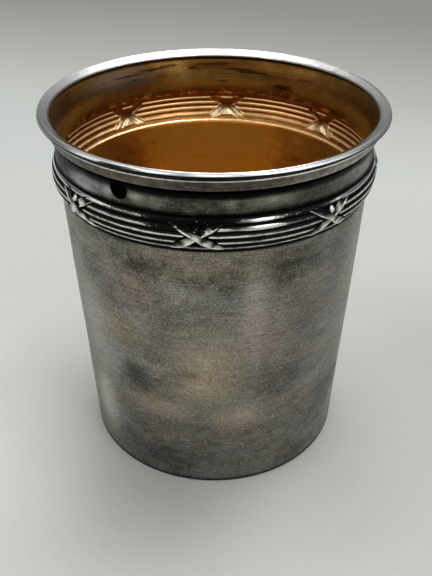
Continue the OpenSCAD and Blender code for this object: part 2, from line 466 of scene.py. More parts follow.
# %% Run a tree on a piece
def run_tree(piece, tree, **values):
    """Applies a geometry tree to a piece, with inputs given by their labels."""
    modifier = piece.modifiers.new(tree.name, "NODES")
    modifier.node_group = tree
    for item in tree.interface.items_tree:
        key = item.name.replace(" ", "_")
        if item.in_out == "INPUT" and key in values:
            modifier[item.identifier] = values[key]
    bpy.context.view_layer.update()
    depsgraph = bpy.context.evaluated_depsgraph_get()
    evaluated = piece.evaluated_get(depsgraph)
    mesh = bpy.data.meshes.new_from_object(evaluated, preserve_all_data_layers=True, depsgraph=depsgraph)
    piece.modifiers.clear()
    old, piece.data = piece.data, mesh
    bpy.data.meshes.remove(old)
    mesh.name = piece.name
    mesh.shade_smooth()
    told(piece)


# %% [markdown]
# ## Materials: common parts
# Every finish is mixed from the same few things. Places are read in Object coordinates, in
# millimetres, so a pattern has its real size and stays put. Noise gives drifting colour, noise
# that is squeezed in height gives the fine lines of brushing, and colour ramps turn both into
# metal. A metal's whole colour is its reflection, so tarnish is simply a darker, rougher metal.

# %% Material helpers
# A soft spot is full inside the first share of its half size and gone outside the second
SPOT_CORE, SPOT_EDGE = 0.15, 1.15
# The wall's radius about halfway up, where a spot lies unless its finish says otherwise
MID_R = 35.0


def swing(noise, strength):
    """Noise hovers round one half. This makes it hover round nought, with a strength."""
    return (noise - 0.5) * strength


class Finish:
    """A new material with its shader and the place on the piece in millimetres."""

    def __init__(self, name):
        self.material = bpy.data.materials.new(name)
        self.material.use_nodes = True
        self.tree = self.material.node_tree
        self.shader = self.tree.nodes["Principled BSDF"]
        coordinates = self.tree.nodes.new("ShaderNodeTexCoord")
        to_mm = self.tree.nodes.new("ShaderNodeVectorMath")
        to_mm.operation = "SCALE"
        to_mm.inputs["Scale"].default_value = MM_IN_M
        self.tree.links.new(coordinates.outputs["Object"], to_mm.inputs[0])
        self.place = Wire(self.tree, to_mm.outputs[0])
        split = self.tree.nodes.new("ShaderNodeSeparateXYZ")
        self.tree.links.new(to_mm.outputs[0], split.inputs[0])
        self.x, self.y, self.z = (Wire(self.tree, split.outputs[k]) for k in range(3))

    def noise(self, across, up, detail, shift, roughness=0.55, warp=0.0):
        """Noise whose grain is so many mm across the piece and up it. The shift tells noises apart."""
        mapping = self.tree.nodes.new("ShaderNodeMapping")
        mapping.inputs["Location"].default_value = (shift, shift * 0.7, shift * 1.3)
        mapping.inputs["Scale"].default_value = (1 / across, 1 / across, 1 / up)
        plug(self.place, mapping.inputs["Vector"])
        node = self.tree.nodes.new("ShaderNodeTexNoise")
        node.inputs["Scale"].default_value = 1.0
        node.inputs["Detail"].default_value = detail
        node.inputs["Roughness"].default_value = roughness
        node.inputs["Distortion"].default_value = warp
        self.tree.links.new(mapping.outputs[0], node.inputs["Vector"])
        return Wire(self.tree, node.outputs[0])

    def ramp(self, wire, stops):
        """Colours along a wire's value."""
        node = self.tree.nodes.new("ShaderNodeValToRGB")
        line = node.color_ramp.elements
        while len(line) < len(stops):
            line.new(1.0)
        for element, (spot, colour) in zip(line, stops):
            element.position, element.color = spot, (*colour, 1.0)
        plug(wire, node.inputs[0])
        return Wire(self.tree, node.outputs[0])

    def blend(self, share, a, b, kind="MIX"):
        """Mixes two colours by a share, from 0 to 1."""
        node = self.tree.nodes.new("ShaderNodeMix")
        node.data_type, node.blend_type = "RGBA", kind
        plug(share, node.inputs[0])
        for value, socket in ((a, node.inputs[6]), (b, node.inputs[7])):
            plug(value if isinstance(value, Wire) else (*value, 1.0), socket)
        return Wire(self.tree, node.outputs[2])

    def tinted(self, share, colour, tint):
        """A colour multiplied by a tint, by a share."""
        return self.blend(share, colour, self.blend(1.0, colour, tint, "MULTIPLY"))

    def attribute(self, name):
        """A number that a geometry tree, or the mesh itself, keeps for each point."""
        node = self.tree.nodes.new("ShaderNodeAttribute")
        node.attribute_name = name
        return Wire(self.tree, node.outputs["Fac"])

    def patch(self, turn, height, wide, high, warp, r=MID_R):
        """A soft spot on the cup, by its angle in degrees, height and half sizes in mm."""
        a = math.radians(turn)
        spot = (r * math.sin(a), -r * math.cos(a), height)
        dx, dy, dz = self.x - spot[0], self.y - spot[1], self.z - spot[2]
        gap = calc("SQRT", (dx * dx + dy * dy) / wide ** 2 + dz * dz / high ** 2)
        return ease(gap + warp, SPOT_EDGE, SPOT_CORE)

    def patched(self, tone, places, warp, r=MID_R):
        """A tone that each listed place makes lighter or darker."""
        for turn, up, wide, high, change in places:
            tone = tone + self.patch(turn, up, wide, high, warp, r) * change
        return tone

    def bump(self, height, distance_mm, strength, normal=None):
        """Small relief that only the light sees."""
        node = self.tree.nodes.new("ShaderNodeBump")
        node.inputs["Strength"].default_value = strength
        node.inputs["Distance"].default_value = distance_mm * MM
        plug(height, node.inputs["Height"])
        if normal is not None:
            plug(normal, node.inputs["Normal"])
        return Wire(self.tree, node.outputs[0])

    def finish(self, colour, roughness, normal, grain, metallic=1.0):
        """Wires the shader. The same values all over sit on its own sockets."""
        plug(colour, self.shader.inputs["Base Color"])
        plug(roughness, self.shader.inputs["Roughness"])
        plug(normal, self.shader.inputs["Normal"])
        self.shader.inputs["Metallic"].default_value = metallic
        self.shader.inputs["Anisotropic"].default_value = grain
        return self.material


# %% [markdown]
# ## The wall's finish: brushed silver, long tarnished
# The wall was brushed round and round and then left to tarnish, so there are three things to see: fine level
# lines, a mottle a few millimetres across, and large soft patches, some of them tarnish and some painted
# highlight and shade. It is warm brown and olive in the middle and darker and cooler towards the foot. The
# patches are listed where the cup has them, and their edges are broken up by noise.

# %% Wall silver
# Colours of the metal, from the most tarnished to the cleanest
WALL_STOPS = [
    (0.0, (0.012, 0.013, 0.012)), (0.28, (0.070, 0.072, 0.067)), (0.50, (0.19, 0.183, 0.165)),
    (0.72, (0.36, 0.35, 0.315)), (1.0, (0.62, 0.61, 0.58))]
# Lighter and darker places, partly tarnish and partly painted light, such as the painted highlight streak at
# 14 and 18 degrees and the painted shade under the band at -37 degrees: angle in degrees, height, half width,
# half height, and the change
WALL_PATCHES = [
    (-3, 40, 10, 11, 0.15), (-8, 31, 8, 5, 0.10), (18, 48, 11, 13, 0.09), (-24, 24, 9, 4, 0.18),
    (64, 52, 9, 26, 0.12), (-45, 53, 9, 8, -0.08), (-37, 70.5, 8, 2.2, -0.22), (-37, 19, 7, 7, -0.07),
    (8, 22, 9, 4, 0.17), (-34, 47, 8, 6, 0.08), (-32, 32, 6, 5, -0.20), (-9, 36, 3, 1.5, -0.12),
    (1, 62.5, 9, 3.5, -0.13), (-36, 60, 6, 5, 0.08), (-38, 9, 12, 6, -0.07), (-24, 64, 7, 4, -0.18),
    (26, 64, 8, 5, -0.20), (15, 61, 5, 5, 0.08), (24, 31, 9, 6, -0.05), (46, 38, 8, 24, 0.08),
    (-52, 42, 9, 24, 0.14), (14, 56, 4, 16, 0.12), (-54, 15, 7, 12, 0.32), (52, 16, 8, 8, -0.10),
    (2, 29, 14, 9, 0.08), (34, 20, 9, 10, -0.05), (4, 6, 13, 6, 0.05), (36, 5, 9, 5, -0.06),
    (-18, 6, 9, 5, -0.10), (-14, 24, 6, 6, 0.08), (15, 25, 6, 5, 0.08), (40, 59, 6, 6, 0.09),
    (-52, 59, 6, 6, -0.10), (150, 40, 16, 12, 0.10), (-120, 30, 12, 9, -0.12), (100, 55, 12, 9, 0.07),
    (-165, 60, 14, 5, -0.10), (75, 20, 10, 7, -0.10), (-80, 50, 10, 8, 0.06)]
# Tarnish colours: angle in degrees, height, half width, half height, and what the metal is multiplied by
WALL_TINTS = [
    (-4, 37, 13, 15, (1.07, 0.96, 0.79)), (-24, 25, 10, 6, (1.05, 0.91, 0.83)),
    (-37, 8, 9, 6, (0.98, 0.97, 1.12)), (8, 21, 11, 6, (1.06, 0.92, 0.83)),
    (14, 66, 16, 6, (1.0, 0.93, 0.86)), (-14, 66, 16, 6, (1.03, 0.95, 0.85)),
    (-30, 58, 10, 8, (1.04, 0.90, 0.90)), (18, 48, 9, 16, (1.03, 0.93, 0.98)),
    (-38, 45, 7, 6, (1.06, 0.94, 0.82)), (-56, 40, 12, 40, (0.97, 1.0, 1.03)),
    (50, 40, 12, 40, (0.97, 0.99, 1.06)), (0, 5, 30, 9, (0.95, 1.0, 1.0)),
    (160, 45, 16, 16, (1.06, 0.94, 0.78)), (-110, 50, 14, 14, (0.93, 1.0, 1.04))]


def wall_finish():
    """Tarnished brushed silver, with painted shade and grime darkest at the foot's edge and in the corner
    under the band.
    """
    f = Finish("wall_tarnished_silver")
    cloud = f.noise(15, 12, 4, 3.0, 0.6, 0.6)
    mottle = f.noise(4.2, 3.4, 5, 11.0, 0.68, 0.4)
    speckle = f.noise(0.55, 0.5, 3, 23.0, 0.75)
    lines = f.noise(6, 0.24, 4, 31.0, 0.7)
    fine = f.noise(5, 0.09, 2, 47.0, 0.7)
    grit = f.noise(0.26, 0.2, 1, 63.0)
    tone = 0.495 + swing(cloud, 0.36) + swing(mottle, 0.36) + swing(speckle, 0.55) + swing(lines, 0.55)
    # Darker at the foot's edge: painted shade and grime where the cup stands on the paper
    tone = tone + swing(grit, 0.75) - ease(f.z, 1.5, 0.2) * 0.45
    # Bright flecks on the front right
    flecks = ease(f.noise(0.5, 0.3, 2, 95.0, 0.7), 0.58, 0.68)
    tone = tone + flecks * f.patch(27, 56, 8, 8, swing(mottle, 2.0)) * 0.24
    # The patches add tarnish and also painted highlight and shade
    tone = f.patched(tone, WALL_PATCHES, swing(mottle, 1.4) + swing(cloud, 0.9))
    # Darker in the corner under the band: painted shade and grime
    tone = tone - ease(f.z, WALL_H - 0.5, WALL_H) * 0.6
    colour = f.ramp(tone, WALL_STOPS)
    # The tarnish colours by place, and then a drift from warm to cool all over
    hue = f.noise(9, 7, 3, 71.0, 0.6)
    for turn, up, wide, high, tint in WALL_TINTS:
        colour = f.tinted(f.patch(turn, up, wide, high, swing(hue, 1.6)), colour, tint)
    colour = f.tinted(ease(hue, 0.46, 0.60) * 0.5, colour, (1.06, 0.93, 0.84))
    colour = f.tinted(ease(hue, 0.50, 0.38) * 0.5, colour, (0.95, 0.99, 1.03))
    roughness = ease(tone, 0.75, 0.2, 0.30, 0.46) + swing(fine, 0.12)
    scratched = f.bump(lines * 0.5 + fine * 0.2 + speckle * 0.3, 0.012, 0.6)
    return f.finish(colour, roughness, f.bump(mottle, 0.03, 0.25, scratched), 0.55)


wall.data.materials.append(wall_finish())
print(len(WALL_PATCHES), "lighter and darker places,", len(WALL_TINTS), "tarnish colours")

# %% [markdown]
# ## The reed strip
# The strip's blank swells gently between wall and neck. Its rows are spaced so that each half
# round reed gets even steps round its curve. The striking tree then raises the reeds. The inner
# side stays plain, because the lining covers it.

# %% Reed strip
REED_STEPS, FLUTE_STEPS = 12, 9


def reed_rows(steps):
    """Heights of the rows across the reeds, closest together in the grooves."""
    start = BAND_MID_Z - REEDS * REED_PITCH / 2
    return [start + REED_PITCH * (i + 0.5 + math.sin(math.pi * (k / steps - 0.5)) / 2)
            for i in range(REEDS) for k in range(steps)] + [start + REEDS * REED_PITCH]


band_outline = [(WALL_TOP_R, WALL_H)]
band_outline += [(crest_r(z) - GROOVE_DEPTH, z, 1.0) for z in reed_rows(REED_STEPS)]
band_outline += [(NECK_FOOT_R, NECK_Z)]
band_outline += [(crest_r(z) - SHEET, z) for z in (NECK_Z, 76.4, 75.0, 73.6, 72.2, WALL_H)]
reed_strip = turned("reed_strip", band_outline, tie_angles(*OUTER_COLUMNS))
print(len(reed_rows(REED_STEPS)), "rows across the reeds")

# %% [markdown]
# ## The reeds' finish
# The crests carry a painted highlight, a bright line along each reed. The rest of each reed is black, partly
# painted dark reflection and partly tarnish, and the grooves and the sunk ground by the ribbons hold black
# tarnish that no cloth reaches. The tree stored how far each point is up its reed, and the material reads
# that number.

# %% Polished silver with black grooves
# Dark places of the band, partly soot and partly painted dark reflection and shade, such as the one at 30
# degrees that dims a lamp's reflection: angle in degrees, height, half sizes in mm, and how much lower they
# read
SOOT_AND_SHADE_SPOTS = [
    (-13, 77.0, 6.5, 1.9, 0.7), (-3, 77.2, 4.5, 1.6, 0.9), (3, 77.5, 3.0, 1.4, 0.7),
    (-5.2, 76.3, 2.4, 1.4, 0.8), (-1.5, 77.2, 2.6, 1.2, 0.8), (-28, 77.4, 9, 1.2, 0.03),
    (30, 77.2, 8, 2.4, 0.10)]
# Painted highlights, where the reeds are painted bright all over for the light they mirror: angle in degrees,
# height, half sizes in mm
PAINTED_HIGHLIGHT_SPOTS = [
    (54, 77.8, 9, 0.9), (-56, 77.8, 15, 0.9), (15, 76.2, 5, 1.6), (100, 77.8, 20, 0.8),
    (-120, 77.8, 20, 0.8), (170, 77.8, 24, 0.8)]
# Colours up a reed: black, for tarnish and painted dark reflection, up to the last stop, which is the painted
# highlight along the crest
REED_STOPS = [
    (0.0, (0.004, 0.004, 0.004)), (0.88, (0.010, 0.010, 0.009)), (0.955, (0.10, 0.097, 0.087)),
    (1.0, (0.84, 0.83, 0.80))]


def polished_silver(name, attribute, stops, smooth, rough, loose):
    """Polished silver with a painted highlight where the attribute is high and black where it is low. The
    attribute runs from 0, low, to 1.
    """
    f = Finish(name)
    drift = f.noise(6, 3, 3, 5.0)
    grime = f.noise(1.1, 0.8, 3, 17.0, 0.7)
    # Fine streaks of wear and painted highlight along the reeds
    rubbed_and_lit = f.noise(3.5, 0.16, 3, 35.0, 0.6)
    high = f.attribute(attribute) + swing(grime, loose) + swing(drift, loose * 0.7) + swing(rubbed_and_lit, 0.14)
    clean = 1 - ease(f.noise(0.55, 0.45, 1, 83.0), 0.66, 0.72)
    # Soot and painted shade lower the tone here
    for turn, up, wide, tall, lower in SOOT_AND_SHADE_SPOTS:
        high = high - f.patch(turn, up, wide, tall, swing(grime, 1.2), CREST_R) * clean * lower
    # Painted highlights raise the tone here
    for turn, up, wide, tall in PAINTED_HIGHLIGHT_SPOTS:
        high = high + f.patch(turn, up, wide, tall, swing(drift, 0.6), CREST_R) * 0.16
    roughness = ease(high, stops[1][0], stops[-1][0], rough, smooth) + swing(drift, 0.10)
    nicks = f.noise(2.2, 0.35, 3, 29.0, 0.7)
    return f.finish(f.ramp(high, stops), roughness, f.bump(nicks, 0.018, 0.35), 0.2)


BAND = dict(Tie_count=TIES, First_tie_angle=TIE_TURN, Band_middle_mm=BAND_MID_Z, Reed_count=REEDS,
            Reed_pitch_mm=REED_PITCH)
reed_silver = polished_silver("reed_polished_silver", "reed", REED_STOPS, 0.10, 0.45, 0.09)
run_tree(reed_strip, strike_tree, **BAND, Reed_depth_mm=GROOVE_DEPTH, Ribbon_height_mm=0.2,
         Unevenness_mm=0.05, Metal=reed_silver)

# %% [markdown]
# ## One ribbon tie
# Two ribbons cross over the reeds. Each starts as a thin tip on an outer reed, swells to a leaf,
# narrows to a waist at the crossing and ends the same way on the other side. Its face is dished,
# with raised edges that catch the light. The upper ribbon is lifted over the lower one, and a
# small bud sits in the upper opening of the cross. A ribbon is a cross-section carried along a
# curved line, so it is made as rows of points in code.

# %% Ribbon rows
RIBBON_STEPS, RIBBON_ACROSS = 84, 13
# Heights in mm over the crests: the edges, the root, a rubbed face, the sunk tip and the rounded corner
EDGE_H, ROOT_H, RUBBED_H, TIP_SINK, CORNER_DROP, UPPER_LIFT = 0.24, -0.45, 0.40, 0.16, 0.06, 0.22
# Shares of the reach: where the face begins to fade into the tip, and how far the lift goes
FADE_FROM, LIFT_REACH = 0.62, 0.42
# Painted highlight: how bright the face is painted, how much more on its lower side, and on the lowest edge
FACE_SHINE, LEAN_SHINE, EDGE_SHINE = 0.52, 0.30, 0.45
# Painted bright and dark stretches along a ribbon, which also raise its face: where, from -1 to 1, how long,
# and how much brighter
UPPER_SHINE = [
    (-0.62, 0.24, -0.38), (-0.28, 0.12, -0.28), (0.02, 0.12, 0.30), (0.20, 0.05, -0.30),
    (0.38, 0.10, 0.35), (0.54, 0.04, -0.30), (0.72, 0.14, 0.45)]
LOWER_SHINE = [
    (-0.75, 0.12, -0.10), (-0.48, 0.05, -0.25), (-0.30, 0.12, 0.35), (0.12, 0.10, -0.45),
    (0.36, 0.12, 0.50), (0.64, 0.16, -0.60), (0.86, 0.12, -0.60)]
BUD_STEPS, BUD_AROUND, BUD_SIZE, BUD_HALF, BUD_RISE = 8, 12, 1.5, 0.56, 0.30


def on_band(s, z, h):
    """The place of a point on the band: along it, its height, and its height over the crests."""
    a, r = s / CREST_R, crest_r(min(max(z, WALL_H), NECK_Z)) + h
    return (r * math.sin(a) * MM, -r * math.cos(a) * MM, z * MM)


def ribbon_rows(hand, lift, shine):
    """Points of one ribbon, ring by ring, and for each its painted brightness."""
    rings, bright = [], []
    for k in range(RIBBON_STEPS + 1):
        v = -1 + 2 * k / RIBBON_STEPS
        q = abs(v)
        rubbed_and_lit = sum(more * math.exp(-((v - spot) / wide) ** 2) for spot, wide, more in shine)
        s = v * ARM_REACH
        centre = BAND_MID_Z - hand * ARM_RISE * math.sin(v * math.pi / 2)
        slope = -hand * ARM_RISE * math.pi / 2 / ARM_REACH * math.cos(v * math.pi / 2)
        nx, nz = -slope / math.hypot(slope, 1), 1 / math.hypot(slope, 1)
        half = arm_half_width(q)
        fade = max(0.0, 1 - (max(q - FADE_FROM, 0) / (1 - FADE_FROM)) ** 1.6)
        raised = lift * max(0.0, 1 - (q / LIFT_REACH) ** 2)
        ring, near = [], []
        for j in range(RIBBON_ACROSS):
            x = -1 + 2 * j / (RIBBON_ACROSS - 1)
            edge = abs(x) ** 2.5
            dish = RUBBED_H * rubbed_and_lit * (1 - edge)
            corner = CORNER_DROP if j in (0, RIBBON_ACROSS - 1) else 0.0
            h = raised + (dish + EDGE_H * edge - corner) * fade - TIP_SINK * (1 - fade)
            ring.append(on_band(s + nx * x * half, centre + nz * x * half, h))
            # Painted brightness: lighter on the lower side and on the lowest edge
            lit = EDGE_SHINE if x < -0.8 else 0.0
            near.append(min(1.0, FACE_SHINE - LEAN_SHINE * x + rubbed_and_lit * min(1.0, 1 + x * edge) + lit))
        for x in (1, -1):
            ring.append(on_band(s + nx * x * half, centre + nz * x * half, ROOT_H))
            near.append(0.0)
        rings.append(ring)
        bright.append(near)
    return rings, bright


def bud_rows():
    """A small raised bud in the upper opening of the cross."""
    rings, bright = [], []
    for k in range(BUD_STEPS + 1):
        t = k / BUD_STEPS
        size = BUD_SIZE * math.sin(math.pi * (0.06 + 0.88 * t)) ** 0.6
        s = -0.45 + 0.4 * t + 0.25 * math.sin(math.pi * t)
        z = BAND_MID_Z + 0.85 + 1.75 * t
        ring, near = [], []
        for a in even_angles(BUD_AROUND):
            rise = math.sin(a)
            h = BUD_RISE * size * rise if rise > 0 else 0.5 * rise
            ring.append(on_band(s + BUD_HALF * size * math.cos(a), z, h - 0.02))
            # The bud's painted brightness, lighter where it rises
            near.append(0.2 + 0.8 * max(rise, 0) ** 0.7)
        rings.append(ring[::-1])
        bright.append(near[::-1])
    return rings, bright


# %% [markdown]
# The rings are joined into closed strips. Each ring is a loop of points across the ribbon, the
# ends are capped, and the normals are recalculated so that all faces look outwards.

# %% One tie as a mesh
def tie_mesh():
    """Two ribbons and a bud as one mesh, with each point's painted brightness."""
    points, faces, bright = [], [], []
    strands = ribbon_rows(1, UPPER_LIFT, UPPER_SHINE), ribbon_rows(-1, 0.0, LOWER_SHINE), bud_rows()
    for rings, near in strands:
        start, n = len(points), len(rings[0])
        for ring, marks in zip(rings, near):
            points += ring
            bright += marks
        for k in range(len(rings) - 1):
            for j in range(n):
                a, b = start + k * n + j, start + k * n + (j + 1) % n
                faces.append((a, b, b + n, a + n))
        faces.append(tuple(range(start, start + n))[::-1])
        faces.append(tuple(range(len(points) - n, len(points))))
    mesh = bpy.data.meshes.new("ribbon_tie")
    mesh.from_pydata(points, [], faces)
    # The painted brightness is kept as 'edge' for the material
    mesh.attributes.new("edge", "FLOAT", "POINT").data.foreach_set("value", bright)
    work = bmesh.new()
    work.from_mesh(mesh)
    bmesh.ops.recalc_face_normals(work, faces=work.faces)
    work.to_mesh(mesh)
    work.free()
    return mesh


ribbon_ties = placed("crossed_ribbons", tie_mesh())
told(ribbon_ties)

# %% [markdown]
# ## Eight ties round the band
# One tie is repeated at equal angles. The tree makes one point for each tie at the cup's axis,
# puts the tie on each point with a turn that grows by the same step, and makes the copies real.

# %% The repeating tree
RING_INPUTS = [("Count", "NodeSocketInt"), ("First angle", "NodeSocketFloat"),
               ("Metal", "NodeSocketMaterial")]
ring_tree, ring_given, ring_result = geometry_tree("repeat_round_the_cup", RING_INPUTS)
count, first = (Wire(ring_tree, ring_given.outputs[label]) for label in ("Count", "First angle"))
spots = ring_tree.nodes.new("GeometryNodePoints")
plug(count, spots.inputs["Count"])
number = Wire(ring_tree, ring_tree.nodes.new("GeometryNodeInputIndex").outputs[0])
spin = ring_tree.nodes.new("ShaderNodeCombineXYZ")
plug(number * (2 * math.pi / count) + first, spin.inputs["Z"])
copies = ring_tree.nodes.new("GeometryNodeInstanceOnPoints")
ring_tree.links.new(spots.outputs[0], copies.inputs["Points"])
ring_tree.links.new(ring_given.outputs["Geometry"], copies.inputs["Instance"])
ring_tree.links.new(spin.outputs[0], copies.inputs["Rotation"])
end_tree(ring_tree, copies.outputs[0], ring_given, ring_result)

# Ribbon colours by their painted brightness, from black to the painted highlight
RIBBON_STOPS = [
    (0.0, (0.006, 0.006, 0.006)), (0.30, (0.020, 0.019, 0.018)), (0.60, (0.26, 0.25, 0.225)),
    (0.95, (0.86, 0.85, 0.82))]
ribbon_silver = polished_silver("ribbon_polished_silver", "edge", RIBBON_STOPS, 0.14, 0.42, 0.26)
run_tree(ribbon_ties, ring_tree, Count=TIES, First_angle=TIE_TURN, Metal=ribbon_silver)

# %% [markdown]
# ## The neck and its worn mark
# The hollow neck was spun in one sweep from the band to the lip. Near the left, a round mark was
# once punched into it, and the hollow has gone black. Nothing can be read there, so it is a bare
# dish. The columns crowd at the mark so that its rim stays crisp.

# %% Neck
MARK_TURN, MARK_Z, MARK_R, MARK_DEPTH = math.radians(-30.7), 81.642, 1.8, 0.3
FINE_STEP, FINE_SIDE, COARSE_FROM, COARSE_COUNT = 0.14, 28, 4.2, 230
NECK_STEP, NECK_STEPS = 0.14, 63
near_mark = [MARK_TURN + math.radians(FINE_STEP * k) for k in range(-FINE_SIDE, FINE_SIDE + 1)]
far_from_mark = [MARK_TURN + math.radians(COARSE_FROM + (360 - 2 * COARSE_FROM) * k / COARSE_COUNT)
                 for k in range(COARSE_COUNT)]


def marked(r, z, a):
    """Sinks the round mark into the neck's outer face."""
    along = (a - MARK_TURN + math.pi) % (2 * math.pi) - math.pi
    gap = math.hypot(along * NECK_R, z - MARK_Z) / MARK_R
    if gap < 1 and r > NECK_R - 0.3:
        return r - MARK_DEPTH * (1 - gap ** 4), z
    return r, z


neck_outline = [(neck_r(z), z) for z in [NECK_Z + NECK_STEP * k for k in range(NECK_STEPS)] + [SEAT_Z]]
neck_outline += [(neck_r(z) - SHEET, z) for z in (SEAT_Z, 86.0, 84.5, 83.0, 81.0, NECK_Z)]
neck = turned("hollow_neck", neck_outline, near_mark + far_from_mark, marked)
told(neck)

# %% [markdown]
# Under the moulding the neck is painted black as the moulding's shadow, and just above the band it is darker,
# painted shade and grime in the corner. The mark's inside is blackest, and a painted black strip runs up from
# it into the moulding's shadow. Either side of it the metal is painted lighter, as highlights on the mark's
# raised edges.

# %% Neck silver
# Lighter and darker places, partly tarnish and partly painted light, such as the painted highlights either
# side of the mark: angle in degrees, height, half width, half height, and the change
NECK_PATCHES = [
    (-25.5, 81.3, 2.2, 2.2, 0.34), (-20, 80.8, 5, 2.2, 0.16), (-35.5, 81.0, 2.0, 2.4, 0.28),
    (-2, 81.0, 9, 3, -0.06), (5, 80.9, 1.8, 1.6, 0.20), (18, 81.2, 7, 2.2, 0.28), (-49, 80.0, 9, 3.4, 0.38),
    (-62, 82, 9, 4, -0.22), (56, 81, 11, 3.5, 0.27), (33, 81.6, 6, 2.5, 0.02), (120, 81, 12, 3, 0.15),
    (-130, 80.5, 12, 3, -0.12), (175, 81.5, 10, 3, 0.12)]
NECK_STOPS = [
    (0.0, (0.004, 0.004, 0.004)), (0.3, (0.055, 0.055, 0.046)), (0.55, (0.18, 0.172, 0.145)),
    (1.0, (0.50, 0.49, 0.45))]
# Painted shadow of the moulding fills the top of the hollow between these heights, and the mark's black lies
# a little to the left in the mark
SHADOW_FROM_Z, SHADOW_FULL_Z, MARK_BLACK_SIDE = 82.7, 83.5, 0.2


def neck_finish():
    """Dull silver, with painted shadow under the moulding, painted shade and grime just above the band, and
    black in and over the mark.
    """
    f = Finish("neck_dull_silver")
    cloud = f.noise(9, 4, 4, 2.0, 0.6, 0.5)
    mottle = f.noise(2.0, 1.1, 5, 13.0, 0.7)
    speckle = f.noise(0.5, 0.4, 2, 91.0, 0.7)
    lines = f.noise(8, 0.2, 4, 37.0, 0.7)
    ragged = swing(mottle, 0.8)
    tone = 0.34 + swing(cloud, 0.6) + swing(mottle, 0.6) + swing(speckle, 0.4) + swing(lines, 0.5)
    # Darker just above the band, painted shade and grime in the corner, and darker upwards as painted shadow
    # under the moulding
    tone = tone - ease(f.z, NECK_Z + 0.9, NECK_Z) * 0.38 - ease(f.z, 81.3, 83.4) * 0.75
    tone = f.patched(tone, NECK_PATCHES, ragged, NECK_R)
    # Bright scratches at the left of the mark
    sparkle = ease(f.noise(0.42, 0.3, 2, 19.0, 0.7), 0.56, 0.66)
    tone = tone + sparkle * f.patch(-39.5, 80.9, 1.5, 1.7, ragged, NECK_R) * 0.9
    # Black in the mark, a painted black strip straight above it, and painted shadow round the top of the
    # hollow under the moulding
    mark_black_turn = MARK_TURN - MARK_BLACK_SIDE / NECK_R
    dx = f.x - NECK_R * math.sin(mark_black_turn)
    dy = f.y + NECK_R * math.cos(mark_black_turn)
    dz = f.z - MARK_Z
    level_gap = dx * dx + dy * dy
    gap = calc("SQRT", level_gap + dz * dz) + swing(mottle, 0.12)
    inside = ease(gap, MARK_R + 0.38, MARK_R + 0.16)
    above = ease(f.z, MARK_Z, MARK_Z + 0.8) * ease(f.z, 84.2, 83.4)
    above = above * ease(calc("SQRT", level_gap), 2.15, 1.85)
    painted_black = larger(larger(inside, above), ease(f.z, SHADOW_FROM_Z, SHADOW_FULL_Z))
    cool = larger(ease(f.x, -14.0, -24.0), ease(f.x, 16.0, 28.0))
    colour = f.tinted(cool * 0.7, f.ramp(tone, NECK_STOPS), (0.92, 1.0, 1.08))
    colour = f.tinted(f.patch(-45, 80.6, 8, 3.2, ragged, NECK_R), colour, (1.06, 0.99, 1.18))
    colour = f.blend(painted_black, colour, (0.0008, 0.0008, 0.0008))
    roughness = ease(tone, 0.8, 0.2, 0.30, 0.50) + painted_black * 0.45
    return f.finish(colour, roughness, f.bump(lines * 0.6 + speckle * 0.4, 0.012, 0.4), 0.45)


neck.data.materials.append(neck_finish())
print("soot ring from", SHADOW_FROM_Z, "mm up")

# %% [markdown]
# ## The moulding under the lip
# A narrow slanted strip follows the neck's curve. Its face is dull like the neck, and its upper
# edge is rubbed bright, so the edge is rounded in a few steps to give the light something to hold.

# %% Moulding
MOULD_GAP, MOULD_PROUD, MOULD_EDGE, MOULD_FOOT, MOULD_CHAMFER = 0.03, 0.43, 0.2, 0.12, 0.1
MOULD_ROWS, EDGE_STRETCH = 14, 0.02
face_low_z, face_top_z = NECK_TOP_Z + MOULD_FOOT, LIP_TOP_Z - MOULD_EDGE
face_rows = [face_low_z + (face_top_z - face_low_z) * k / MOULD_ROWS for k in range(MOULD_ROWS + 1)]
foot_r = neck_r(NECK_TOP_Z)
mould_outline = [(foot_r + MOULD_GAP, NECK_TOP_Z), (foot_r + MOULD_PROUD - MOULD_CHAMFER, NECK_TOP_Z)]
mould_outline += [(neck_r(z) + MOULD_PROUD, z) for z in face_rows]
mould_outline += arc(neck_r(face_top_z) + MOULD_PROUD - MOULD_EDGE, face_top_z,
                     MOULD_EDGE + EDGE_STRETCH, MOULD_EDGE, 15, 90, 5)
mould_outline += [(neck_r(z) + MOULD_GAP, z) for z in (LIP_TOP_Z, 85.7, 84.9)]
moulding = turned("lip_moulding_strip", mould_outline, even_angles(PLAIN_COLUMNS))
told(moulding)

# %% [markdown]
# The face keeps its dull tone, with painted light towards the front right and a painted highlight along its
# lower edge. The brightness of the upper edge wanders by a tenth of a millimetre, as rubbing leaves it.

# %% Moulding finish
MOULD_STOPS = [
    (0.0, (0.02, 0.019, 0.017)), (0.35, (0.125, 0.112, 0.094)), (0.6, (0.29, 0.265, 0.23)),
    (1.0, (0.80, 0.79, 0.76))]


